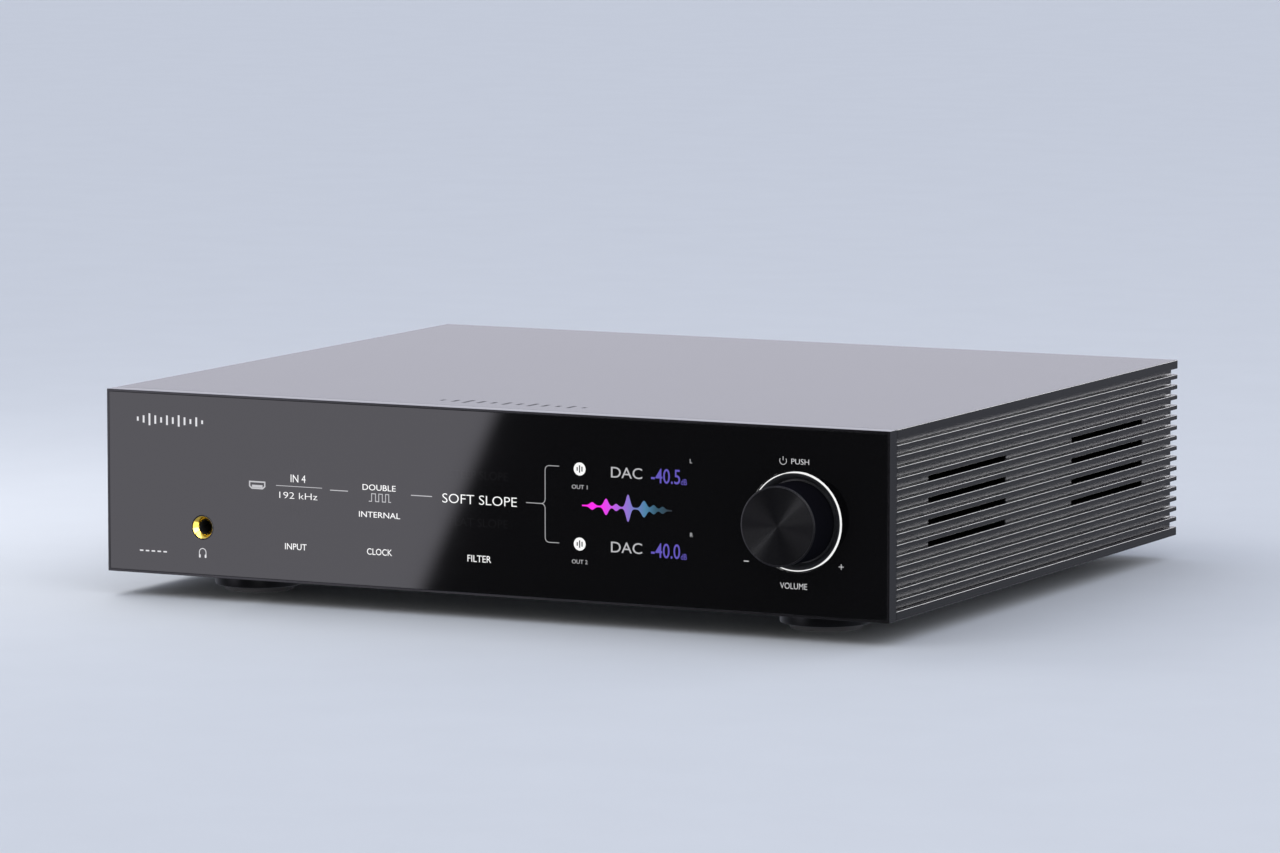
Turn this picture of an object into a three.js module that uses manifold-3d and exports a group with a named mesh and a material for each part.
// Desktop digital-to-analogue converter with a preamplifier knob and a headphone socket.
// Millimetres, +Z up. The front faces -Y and the viewer's right is +X. Z = 0 is the shelf it stands on.
import * as THREE from "three";
import { mergeVertices } from "three/addons/utils/BufferGeometryUtils.js";
import Module from "manifold-3d";

const wasm = await Module();
wasm.setup();

// ---- driving dimensions of the case ----
const WIDTH = 430;
const DEPTH = 366; // fascia's front face to the rear panel's outer face
const HEIGHT = 92; // body without its feet
const FOOT_HEIGHT = 12;
const FASCIA = 8.4;
const RIM = 1.2; // bare metal round the front glass
const GLASS = 3;
const PLATE = 4.6; // top cover and bottom plate
const SIDE = 6.8; // side panel, fins included
const REAR = 3;
const GAP = 0.3; // running or assembly clearance
const KNOB_REACH = 20; // knob in front of the glass
const REAR_REACH = 12; // longest connector behind the rear panel

// ---- side panels ----
const GROOVES = 16;
const GROOVE_HEIGHT = 2.9;
const GROOVE_DEPTH = 3.6;
const VENTED_GROOVES = [4, 6, 8, 10]; // counted from the top
const VENT_LENGTH = 94;
const VENT_HEIGHT = 1.5; // in the lower half of the groove
const VENT_CENTRES = [100.7, 279.1]; // from the front of the case

// ---- front controls, from the case's centre line and the underside of the body ----
const KNOB = { x: 165.5, z: HEIGHT / 2, radius: 19.6 };
const RING = { outer: 24.5, inner: 23.5 };
const DISH = { barrel: 21.4, floor: 3.6, back: 5 }; // the black dish that the knob sits in
const KNOB_TRAVEL = 0.6;
const JACK = { x: -160.3, z: 24.9, collar: 5.9, bore: 3.5 };
const WINDOW = { x: -10, width: 256, height: 68 }; // display opening behind the glass

// ---- rear connectors, seen on the rear panel: x from the centre line, z from the underside ----
const INLET = { x: -180, z: HEIGHT / 2 };
const ROCKER = { x: -135, z: HEIGHT / 2, tilt: 10 };
const LOW_ROW = 29;
const HIGH_ROW = 63;
const LATCH_TRAVEL = 1.5;

// ---- inside ----
const STUD_HEIGHT = 10;
const BOARD = 1.6;
const BOARD_Z = PLATE + STUD_HEIGHT;
const SHIELD_X = -104;
const MAIN_BOARD = { x0: -90, x1: 200, y0: 160, y1: 342 };
const POWER_BOARD = { x0: -200, x1: -110, y0: 190, y1: 325 };
const TOROID = { x: -155, y: 105, outer: 46, inner: 15, height: 38 };
const ENCODER_BODY = { size: 14, front: 5.2, back: 17 };
const FRONT_BOARD_Y = 19.5;

// ---- finishes ----
const FINISHES = {
  anodised: { color: 0x2b2b2f, roughness: 0.42, metalness: 0.9 },
  blackMetal: { color: 0x101013, roughness: 0.25, metalness: 0.9 },
  blackGlass: { color: 0x050506, roughness: 0.04, metalness: 0 },
  display: { color: 0x0b0b14, roughness: 0.3, metalness: 0 },
  lightGuide: { color: 0xf4f4ff, roughness: 0.35, metalness: 0 },
  gold: { color: 0xd9a441, roughness: 0.2, metalness: 1 },
  nickel: { color: 0xb9bbc0, roughness: 0.25, metalness: 1 },
  steel: { color: 0x8d9096, roughness: 0.4, metalness: 1 },
  rubber: { color: 0x161616, roughness: 0.9, metalness: 0 },
  blackPlastic: { color: 0x18181a, roughness: 0.6, metalness: 0 },
  board: { color: 0x0f2a1c, roughness: 0.5, metalness: 0 },
  winding: { color: 0x8a4b1e, roughness: 0.5, metalness: 0.3 },
  sleeve: { color: 0x1c2430, roughness: 0.35, metalness: 0 },
  cable: { color: 0x8f9398, roughness: 0.6, metalness: 0 },
};

// ---- solids ----

// Shared corners merged, flat triangles dropped and faces turned outwards, so that booleans can use it.
function closed(geometry) {
  geometry.deleteAttribute("normal");
  geometry.deleteAttribute("uv");
  const merged = mergeVertices(geometry, 1e-4);
  const corners = merged.getAttribute("position");
  const kept = [];
  let volume = 0;
  const [a, b, c] = [new THREE.Vector3(), new THREE.Vector3(), new THREE.Vector3()];
  for (let i = 0; i < merged.index.count; i += 3) {
    const triangle = [0, 1, 2].map((k) => merged.index.getX(i + k));
    if (new Set(triangle).size < 3) continue;
    [a, b, c].forEach((corner, k) => corner.fromBufferAttribute(corners, triangle[k]));
    volume += a.dot(b.cross(c));
    kept.push(triangle);
  }
  if (volume < 0) kept.forEach((triangle) => triangle.reverse());
  merged.setIndex(kept.flat());
  return merged;
}

function toManifold(geometry) {
  const solid = closed(geometry.clone());
  const vertProperties = new Float32Array(solid.getAttribute("position").array);
  const triVerts = new Uint32Array(solid.index.array);
  return new wasm.Manifold(new wasm.Mesh({ numProp: 3, vertProperties, triVerts }));
}

function fromManifold(manifold) {
  const mesh = manifold.getMesh();
  const geometry = new THREE.BufferGeometry();
  geometry.setAttribute("position", new THREE.BufferAttribute(mesh.vertProperties, 3));
  geometry.setIndex(new THREE.BufferAttribute(mesh.triVerts, 1));
  return geometry;
}

const cut = (geometry, ...tools) =>
  fromManifold(tools.reduce((solid, tool) => solid.subtract(toManifold(tool)), toManifold(geometry)));

const join = (geometry, ...others) =>
  fromManifold(others.reduce((solid, other) => solid.add(toManifold(other)), toManifold(geometry)));

// A box given by its lowest and highest corners.
function block([x0, y0, z0], [x1, y1, z1]) {
  const box = new THREE.BoxGeometry(x1 - x0, y1 - y0, z1 - z0);
  return box.translate((x0 + x1) / 2, (y0 + y1) / 2, (z0 + z1) / 2);
}

// A box centred on x and z that runs from y0 to y1.
const bar = (width, height, y0, y1, x = 0, z = 0) =>
  block([x - width / 2, y0, z - height / 2], [x + width / 2, y1, z + height / 2]);

// Turned pieces: the outline holds [radius, distance along the axis] pairs.
const turnedY = (outline, sides = 24) =>
  new THREE.LatheGeometry(outline.map(([r, y]) => new THREE.Vector2(r, y)), sides);

const turnedZ = (outline, sides = 24) => turnedY(outline, sides).rotateX(Math.PI / 2);

const rodY = (radius, y0, y1, sides = 20) =>
  turnedY([[0, y0], [radius, y0], [radius, y1], [0, y1]], sides);

const rodZ = (radius, z0, z1, sides = 10) =>
  turnedZ([[0, z0], [radius, z0], [radius, z1], [0, z1]], sides);

// An outline in the y-z plane, [y, z] pairs, extruded along x and centred on it.
function profileX(outline, width) {
  const shape = new THREE.Shape(outline.map(([y, z]) => new THREE.Vector2(y, z)));
  const solid = new THREE.ExtrudeGeometry(shape, { depth: width, bevelEnabled: false });
  const toYZ = new THREE.Matrix4().set(0, 0, 1, -width / 2, 1, 0, 0, 0, 0, 1, 0, 0, 0, 0, 0, 1);
  return solid.applyMatrix4(toYZ);
}

function part(name, geometry, finish, position = [0, 0, 0]) {
  const mesh = new THREE.Mesh(closed(geometry), new THREE.MeshStandardMaterial(FINISHES[finish]));
  mesh.name = name;
  mesh.position.set(...position);
  return mesh;
}

// ---- front ----

function makeFasciaFrame() {
  const innerHeight = HEIGHT - 2 * RIM;
  const plate = bar(WIDTH, HEIGHT, 0, FASCIA, 0, HEIGHT / 2);
  const glassSeat = bar(WIDTH - 2 * RIM, innerHeight, -1, GLASS + 0.1, 0, HEIGHT / 2);
  const window = bar(WINDOW.width, WINDOW.height, -1, FASCIA + 1, WINDOW.x, HEIGHT / 2);
  const knobHole = rodY(DISH.barrel + 0.2, -1, FASCIA + 1, 32).translate(KNOB.x, 0, KNOB.z);
  const jackHole = rodY(JACK.collar + GAP, -1, FASCIA + 1).translate(JACK.x, 0, JACK.z);
  const postLength = FRONT_BOARD_Y - FASCIA;
  const posts = [-145, 125].flatMap((x) =>
    [8, HEIGHT - 8].map((z) => rodY(3, FASCIA - 1, FASCIA + postLength, 10).translate(x, 0, z)));
  return part("fascia_frame", join(cut(plate, glassSeat, window, knobHole, jackHole), ...posts), "anodised");
}

function makeFrontGlass() {
  const edge = RIM + 0.1;
  const sheet = bar(WIDTH - 2 * edge, HEIGHT - 2 * edge, 0, GLASS, 0, HEIGHT / 2);
  const knobHole = rodY(RING.outer + 0.1, -1, GLASS + 1, 48).translate(KNOB.x, 0, KNOB.z);
  const jackHole = rodY(JACK.collar + GAP, -1, GLASS + 1).translate(JACK.x, 0, JACK.z);
  return part("front_glass", cut(sheet, knobHole, jackHole), "blackGlass");
}

function makeDisplayPanel() {
  const margin = 0.5;
  const panel = bar(WINDOW.width - 2 * margin, WINDOW.height - 2 * margin, GLASS + 0.1, FASCIA);
  return part("display_panel", panel, "display", [WINDOW.x, 0, HEIGHT / 2]);
}

function makeFrontBoard() {
  const y1 = FRONT_BOARD_Y + BOARD;
  const board = block([-150, FRONT_BOARD_Y, 3 + PLATE], [200, y1, HEIGHT - PLATE - 2]);
  return part("front_board", board, "board");
}

// ---- case ----

function makeSidePanel(name, side) {
  const top = HEIGHT - PLATE;
  const pitch = (top - PLATE - GROOVE_HEIGHT) / (GROOVES - 1);
  const wall = WIDTH / 2 - SIDE;
  const tip = WIDTH / 2;
  const floor = tip - GROOVE_DEPTH;
  const grooveTops = Array.from({ length: GROOVES }, (_, i) => top - i * pitch);
  const comb = new THREE.Shape();
  comb.moveTo(wall, PLATE);
  comb.lineTo(wall, top);
  grooveTops.forEach((z, i) => {
    comb.lineTo(floor, z);
    comb.lineTo(floor, z - GROOVE_HEIGHT);
    if (i === GROOVES - 1) return;
    comb.lineTo(tip, z - GROOVE_HEIGHT);
    comb.lineTo(tip, z - pitch);
  });
  const length = DEPTH - FASCIA;
  const panel = new THREE.ExtrudeGeometry(comb, { depth: length, bevelEnabled: false });
  panel.rotateX(Math.PI / 2).translate(0, DEPTH, 0);
  const vents = VENTED_GROOVES.flatMap((i) => VENT_CENTRES.map((y) => {
    const low = grooveTops[i] - GROOVE_HEIGHT;
    const half = VENT_LENGTH / 2;
    return block([wall - 1, y - half, low], [floor + 1, y + half, low + VENT_HEIGHT]);
  }));
  const solid = cut(panel, ...vents);
  if (side < 0) solid.scale(-1, 1, 1);
  return part(name, solid, "anodised");
}

function makeTopCover() {
  const plate = block([-WIDTH / 2, FASCIA, HEIGHT - PLATE], [WIDTH / 2, DEPTH, HEIGHT]);
  return part("top_cover", plate, "anodised");
}

function studPlaces(board) {
  const inset = 6;
  return [board.x0 + inset, board.x1 - inset].flatMap((x) =>
    [board.y0 + inset, board.y1 - inset].map((y) => [x, y]));
}

function makeBottomPlate() {
  const plate = block([-WIDTH / 2, FASCIA, 0], [WIDTH / 2, DEPTH, PLATE]);
  const studs = [MAIN_BOARD, POWER_BOARD].flatMap(studPlaces).map(([x, y]) =>
    rodZ(3, PLATE - 1, BOARD_Z).translate(x, y, 0));
  return part("bottom_plate", join(plate, ...studs), "anodised");
}

function makeFeet() {
  const inset = { x: 57.4, y: 52.9 };
  const disc = { radius: 22.5, height: 9.1, chamfer: 0.4 };
  const pad = { radius: 17.5, sunk: 1.5 };
  const feet = [];
  for (const [row, y] of [["front", inset.y], ["rear", DEPTH - inset.y]]) {
    for (const [side, sign] of [["left", -1], ["right", 1]]) {
      const place = [sign * (WIDTH / 2 - inset.x), y, 0];
      const body = turnedZ([
        [0, 0], [disc.radius, 0], [disc.radius, -disc.height + disc.chamfer],
        [disc.radius - disc.chamfer, -disc.height], [pad.radius + 0.1, -disc.height],
        [pad.radius + 0.1, -disc.height + pad.sunk], [0, -disc.height + pad.sunk],
      ], 28);
      const rubber = turnedZ([
        [0, -disc.height + pad.sunk], [pad.radius, -disc.height + pad.sunk],
        [pad.radius, -FOOT_HEIGHT + 0.6], [pad.radius - 0.6, -FOOT_HEIGHT], [0, -FOOT_HEIGHT],
      ], 28);
      feet.push(part(`${row}_${side}_foot`, body, "blackMetal", place));
      feet.push(part(`${row}_${side}_foot_pad`, rubber, "rubber", place));
    }
  }
  return feet;
}

// ---- knob, its rotary encoder and the lit ring round it ----

function makeKnobPieces() {
  const { barrel, floor, back: dishBack } = DISH;
  const dishRim = RING.inner - 0.1;
  const skirt = floor - KNOB_TRAVEL - 1.2; // back edge of the knob, clear of the floor when pressed
  const bush = 4.5;
  const shaft = 3;
  const tail = 1.5;
  const at = [KNOB.x, 0, KNOB.z];
  const bevel = 0.5;
  const pocket = { radius: 10, depth: -3.2 };
  const boreEnd = -13;
  const knob = turnedY([
    [0, boreEnd], [0, -KNOB_REACH], [KNOB.radius - bevel, -KNOB_REACH], [KNOB.radius, -KNOB_REACH + bevel],
    [KNOB.radius, skirt], [pocket.radius, skirt], [pocket.radius, pocket.depth], [shaft + 0.05, pocket.depth],
    [shaft + 0.05, boreEnd], [0, boreEnd],
  ], 48);
  const dish = turnedY([
    [bush + 0.2, floor], [20.4, floor], [20.5, 2.4], [21.2, 1.3], [22.2, 0.5], [dishRim, 0],
    [dishRim, GLASS], [barrel, GLASS], [barrel, dishBack], [bush + 0.2, dishBack], [bush + 0.2, floor],
  ], 48);
  const ring = turnedY([
    [RING.inner, 0], [RING.outer, 0], [RING.outer, GLASS], [RING.inner, GLASS], [RING.inner, 0],
  ], 48);
  const { size, front, back } = ENCODER_BODY;
  const threaded = join(bar(size, size, front, back), rodY(bush, -2.4, front + 1));
  const encoder = cut(threaded, rodY(shaft + 0.1, -4, back - 1.5), rodY(tail + 0.2, back - 3, back + 1));
  const hexagon = rodY(7, 0.6, floor, 6);
  const nut = cut(hexagon, rodY(bush + 0.05, -1, floor + 1));
  const spindle = rodY(shaft, boreEnd + 0.2, 13);
  const plunger = turnedY([
    [0, 13], [shaft, 13], [shaft, 14.2], [tail, 14.2], [tail, back + 0.8], [0, back + 0.8],
  ], 16);
  return [
    part("volume_knob", knob, "blackMetal", at),
    part("encoder_shaft", spindle, "steel", at),
    part("encoder_plunger", plunger, "blackPlastic", at),
    part("encoder_body", encoder, "steel", at),
    part("encoder_nut", nut, "nickel", at),
    part("knob_dish", dish, "blackMetal", at),
    part("light_ring", ring, "lightGuide", at),
  ];
}

// ---- headphone socket ----

function makeHeadphoneSocket() {
  const { collar, bore, x, z } = JACK;
  const cone = 2.2;
  const lip = cone + 0.4;
  const collarEnd = 10;
  const depth = 42;
  const liner = bore + 0.8;
  const ring = turnedY([
    [bore, cone], [collar, 0], [collar, collarEnd], [liner + 0.1, collarEnd], [liner + 0.1, lip],
    [bore, lip], [bore, cone],
  ]);
  // A plastic liner lines the collar, and the plug's contacts have room in the chamber behind it.
  const shell = join(bar(16, 20, collarEnd + 0.2, depth), rodY(liner, lip + 0.1, collarEnd + 1));
  const socket = cut(shell, rodY(bore, 0, collarEnd + 3), rodY(5.5, collarEnd + 2, depth - 4));
  return [
    part("headphone_collar", ring, "gold", [x, 0, z]),
    part("headphone_socket", socket, "blackPlastic", [x, 0, z]),
  ];
}

// ---- rear connectors: y = 0 is the rear panel's outer face, and +y leaves the case ----

function makeInlet() {
  const cavity = { width: 24.4, height: 16.8, z: 5, depth: 15 };
  const bay = { width: 24, height: 8.4, z: -9.6, depth: 20 };
  const flange = 2.4;
  const housing = join(bar(50, 34, 0, flange), bar(28, 31, -24, 0.5));
  const hollow = cut(
    housing,
    bar(cavity.width, cavity.height, -cavity.depth, flange + 1, 0, cavity.z),
    bar(bay.width, bay.height, -bay.depth, flange + 1, 0, bay.z),
  );
  const blades = [[-7, -2], [0, 2], [7, -2]].map(([x, z]) =>
    bar(2, 4, -cavity.depth - 1, -1.5, x, cavity.z + z));
  // The drawer has a finger slot, and two trays across it for the fuse in use and a spare.
  const fuse = { length: 20, diameter: 5 };
  const room = fuse.diameter + 0.8;
  const trays = [-14, -6].map((y) => bar(fuse.length + 0.8, room, y - room / 2, y + room / 2, 0, 1.6));
  const drawer = cut(
    bar(bay.width - 2 * GAP, bay.height - 2 * GAP, -bay.depth + GAP, flange + 0.8),
    bar(8, 2, flange - 0.8, flange + 2, 0, 2.6),
    ...trays,
  );
  const place = [INLET.x, DEPTH, INLET.z];
  return [
    part("mains_inlet", join(hollow, ...blades), "blackPlastic", place),
    part("fuse_drawer", drawer, "blackPlastic", [INLET.x, DEPTH, INLET.z + bay.z]),
  ];
}

function makeRocker() {
  const opening = { width: 18.6, height: 24.6, depth: 10 };
  const pivot = -3;
  const radius = 12;
  const housing = cut(
    join(bar(25, 31, 0, 2), bar(22, 28, -18, 0.5)),
    bar(opening.width, opening.height, -opening.depth, 3),
  );
  // Two faces in a shallow V, with ends that stay on a circle about the pivot.
  const end = (degrees, sign) => {
    const angle = THREE.MathUtils.degToRad(degrees);
    return [radius * Math.sin(angle), sign * radius * Math.cos(angle)];
  };
  const turns = [25, 10, -5, -20];
  const outline = [[2.6, 0], ...turns.map((t) => end(t, 1)), ...turns.toReversed().map((t) => end(t, -1))];
  const key = part("power_rocker", profileX(outline, opening.width - 2 * GAP), "blackPlastic");
  const tilted = new THREE.Group();
  tilted.position.set(ROCKER.x, DEPTH + pivot, ROCKER.z);
  tilted.rotation.x = THREE.MathUtils.degToRad(-ROCKER.tilt);
  tilted.add(key);
  return [part("rocker_housing", housing, "blackPlastic", [ROCKER.x, DEPTH, ROCKER.z]), tilted];
}

function xlrShell() {
  return join(bar(26, 31, 0, 2.2), rodY(11.8, -22, 0.5, 24));
}

function makeXlrOutput(name, x) {
  const hollow = cut(xlrShell(), rodY(9.6, -15, 3, 24));
  const pins = [[-4.5, 2.2], [4.5, 2.2], [0, -5]].map(([px, pz]) =>
    rodY(1.2, -16, -2, 8).translate(px, 0, pz));
  return part(name, join(hollow, ...pins), "nickel", [x, DEPTH, HEIGHT / 2]);
}

function makeAesInput(x) {
  const face = -1;
  const slot = turnedY([[7.6, -12], [9.5, -12], [9.5, 3], [7.6, 3], [7.6, -12]]);
  const holes = [[-4.5, 2.2], [4.5, 2.2], [0, -5]].map(([px, pz]) =>
    rodY(1.4, -14, face + 1, 8).translate(px, 0, pz));
  const latch = { width: 8, height: 3.4, z: 12.6 };
  const slotHeight = latch.height + LATCH_TRAVEL + 2 * GAP;
  const latchSlot = bar(latch.width + 2 * GAP, slotHeight, -5, 3, 0, latch.z - LATCH_TRAVEL / 2);
  const shell = cut(xlrShell(), slot, rodY(7.7, face, 3), ...holes, latchSlot);
  const place = [x, DEPTH, HEIGHT / 2];
  return [
    part("digital_xlr_input", shell, "nickel", place),
    part("xlr_latch_tab", bar(latch.width, latch.height, -4.6, 4.5, 0, latch.z), "nickel", place),
  ];
}

function makePhonoSocket(name, x, z) {
  const solid = turnedY([
    [0, -12], [4, -12], [4, 0], [7, 0], [7, 1.5], [4.15, 1.5], [4.15, 9], [1.65, 9], [1.65, 1], [0, 1],
  ], 16);
  return part(name, solid, "gold", [x, DEPTH, z]);
}

function makeClockSocket(x, z) {
  const barrel = turnedY([
    [0, -12], [4.4, -12], [4.4, 0], [7.5, 0], [7.5, 2], [4.8, 2], [4.8, REAR_REACH], [4.05, REAR_REACH],
    [4.05, 3.5], [2.4, 3.5], [2.4, 8.5], [0.8, 8.5], [0.8, 4.5], [0, 4.5],
  ], 16);
  const lugs = [-1, 1].map((side) => block([-1, 8, side > 0 ? 4.5 : -5.9], [1, 10, side > 0 ? 5.9 : -4.5]));
  return part("clock_input", join(barrel, ...lugs), "nickel", [x, DEPTH, z]);
}

function makeOpticalInput(number, x, z) {
  const port = { size: 9, depth: 10.5 };
  const housing = cut(bar(14, 14, -14, 1.5), bar(port.size, port.size, -port.depth, 3));
  const hinge = port.size / 2 - 0.75;
  const flap = bar(port.size - 2 * GAP, hinge + 4.65, -0.45, 0.45, 0, (hinge + 0.45 - 4.2) / 2);
  return [
    part(`optical_input_${number}`, housing, "blackPlastic", [x, DEPTH, z]),
    part(`optical_shutter_${number}`, flap, "blackPlastic", [x, DEPTH, z]),
  ];
}

function makeUsbInput(x, z) {
  const shell = bar(12, 11, -16, 0.8);
  const opening = cut(shell, bar(8.5, 7.9, -10, 2));
  return part("usb_input", join(opening, bar(5.6, 3.2, -11, -1.5)), "steel", [x, DEPTH, z]);
}

function makeLinkInput(x, z) {
  const shell = bar(15.4, 6.4, -12, 0.8);
  const opening = cut(shell, bar(14, 4.6, -9, 2));
  return part("link_input", join(opening, bar(10, 1.2, -10, -1)), "steel", [x, DEPTH, z]);
}

// Every signal connector: its maker, its place, and the hole that it needs in the rear panel.
const round = (radius) => (x, z) => rodY(radius, -REAR - 1, 1, 24).translate(x, DEPTH, z);
const square = (width, height) => (x, z) => bar(width, height, -REAR - 1, 1).translate(x, DEPTH, z);
const latched = (x, z) => join(round(12)(x, z), square(9, 6)(x, z + 12.2));
const CONNECTORS = [
  { x: INLET.x, z: INLET.z, hole: square(28.2, 31.2), make: makeInlet },
  { x: ROCKER.x, z: ROCKER.z, hole: square(22.2, 28.2), make: makeRocker },
  { x: -82, z: LOW_ROW, hole: square(12.2, 11.2), make: makeUsbInput },
  { x: -82, z: HIGH_ROW, hole: square(15.6, 6.6), make: makeLinkInput },
  { x: -56, z: LOW_ROW, hole: square(14.2, 14.2), make: (x, z) => makeOpticalInput(1, x, z) },
  { x: -56, z: HIGH_ROW, hole: square(14.2, 14.2), make: (x, z) => makeOpticalInput(2, x, z) },
  { x: -32, z: LOW_ROW, hole: round(4.2), make: (x, z) => makePhonoSocket("coaxial_input_1", x, z) },
  { x: -32, z: HIGH_ROW, hole: round(4.2), make: (x, z) => makePhonoSocket("coaxial_input_2", x, z) },
  { x: 0, z: HEIGHT / 2, hole: latched, make: makeAesInput },
  { x: 34, z: HEIGHT / 2, hole: round(4.6), make: makeClockSocket },
  { x: 66, z: HEIGHT / 2, hole: round(12), make: (x) => makeXlrOutput("xlr_output_right", x) },
  { x: 100, z: HEIGHT / 2, hole: round(4.2), make: (x, z) => makePhonoSocket("phono_output_right", x, z) },
  { x: 146, z: HEIGHT / 2, hole: round(4.2), make: (x, z) => makePhonoSocket("phono_output_left", x, z) },
  { x: 180, z: HEIGHT / 2, hole: round(12), make: (x) => makeXlrOutput("xlr_output_left", x) },
];

function makeRearPanel() {
  const half = WIDTH / 2 - SIDE;
  const panel = block([-half, DEPTH - REAR, PLATE], [half, DEPTH, HEIGHT - PLATE]);
  return part("rear_panel", cut(panel, ...CONNECTORS.map(({ x, z, hole }) => hole(x, z))), "anodised");
}

// ---- power supply ----

function makeToroid() {
  const { x, y, outer, inner, height } = TOROID;
  const base = PLATE + 1;
  const top = base + height;
  const round = 8;
  const winding = turnedZ([
    [inner, base + round / 2], [inner + round / 2, base], [outer - round, base], [outer, base + round],
    [outer, top - round], [outer - round, top], [inner + round / 2, top], [inner, top - round / 2],
    [inner, base + round / 2],
  ], 32);
  const plate = 2;
  const dish = 34;
  const bolt = 4;
  const clamp = turnedZ([
    [0, PLATE], [bolt, PLATE], [bolt, top + 0.2], [dish, top + 0.2], [dish, top + 0.2 + plate],
    [8, top + 0.2 + plate], [8, top + 0.2 + plate + 5], [0, top + 0.2 + plate + 5],
  ], 24);
  return [
    part("toroidal_transformer", winding, "winding", [x, y, 0]),
    part("transformer_clamp", clamp, "steel", [x, y, 0]),
  ];
}

function makeBoard(name, { x0, x1, y0, y1 }, z = BOARD_Z) {
  return part(name, block([x0, y0, z], [x1, y1, z + BOARD]), "board");
}

function makeCapacitors() {
  const can = { radius: 12.5, height: 42, rim: 1.2 };
  const base = BOARD_Z + BOARD;
  const places = [[-182, 215], [-154, 215], [-182, 245], [-154, 245]];
  return places.map(([x, y], i) => {
    const outline = [
      [0, base], [can.radius, base], [can.radius, base + can.height - can.rim],
      [can.radius - can.rim, base + can.height], [0, base + can.height],
    ];
    return part(`reservoir_capacitor_${i + 1}`, turnedZ(outline, 20), "sleeve", [x, y, 0]);
  });
}

function makeShieldWall() {
  const sheet = 1.2;
  const wall = block([SHIELD_X, 30, PLATE], [SHIELD_X + sheet, 345, HEIGHT - PLATE - 1]);
  const foot = block([SHIELD_X, 30, PLATE], [SHIELD_X + 10, 345, PLATE + sheet]);
  return part("shield_wall", join(wall, foot), "steel");
}

// ---- signal boards ----

function makeDacPieces() {
  const boardTop = BOARD_Z + BOARD;
  const deck = boardTop + 8;
  const header = (x) => block([x - 4, 202, boardTop], [x + 4, 293, deck + 0.5]);
  const daughter = join(block([60, 195, deck], [170, 300, deck + BOARD]), header(70), header(160));
  return [
    makeBoard("main_board", MAIN_BOARD),
    part("dac_board", daughter, "board"),
    part("clock_module", block([-20, 235, boardTop], [25, 270, boardTop + 14]), "nickel"),
    part("usb_receiver_can", block([-84, 285, boardTop], [-48, 315, boardTop + 5]), "nickel"),
  ];
}

// The flat cable leaves the front board, drops and runs back to the main board.
function makeRibbonCable() {
  const start = FRONT_BOARD_Y + BOARD + GAP;
  const end = BOARD_Z + BOARD + GAP;
  const plug = MAIN_BOARD.y0 + 12;
  const route = new THREE.SplineCurve([
    [start, 40], [start + 10, 38], [start + 22, 20], [start + 60, 12], [140, 12], [plug - 14, 26],
    [plug - 3, end + 7], [plug, end],
  ].map(([y, z]) => new THREE.Vector2(y, z)));
  const half = 0.5;
  const steps = 28;
  const edge = (side) => Array.from({ length: steps + 1 }, (_, i) => {
    const { x: y, y: z } = route.getPointAt(i / steps);
    const tangent = route.getTangentAt(i / steps);
    return [y - side * half * tangent.y, z + side * half * tangent.x];
  });
  const outline = [...edge(1), ...edge(-1).toReversed()];
  return part("ribbon_cable", profileX(outline, 32), "cable", [60, 0, 0]);
}

// ---- the whole converter ----

const chassis = new THREE.Group();
chassis.add(
  makeFasciaFrame(),
  makeFrontGlass(),
  makeDisplayPanel(),
  makeFrontBoard(),
  makeTopCover(),
  makeSidePanel("left_side_panel", -1),
  makeSidePanel("right_side_panel", 1),
  makeRearPanel(),
  makeBottomPlate(),
  ...makeFeet(),
  ...makeKnobPieces(),
  ...makeHeadphoneSocket(),
  ...CONNECTORS.flatMap(({ x, z, make }) => make(x, z)),
  ...makeToroid(),
  makeBoard("power_board", POWER_BOARD),
  ...makeCapacitors(),
  makeShieldWall(),
  ...makeDacPieces(),
  makeRibbonCable(),
);
// The body's underside stands on the feet, and the middle of the whole depth lies over the origin.
chassis.position.set(0, -(DEPTH + REAR_REACH - KNOB_REACH) / 2, FOOT_HEIGHT);

const model = new THREE.Group();
model.add(chassis);

export default model;
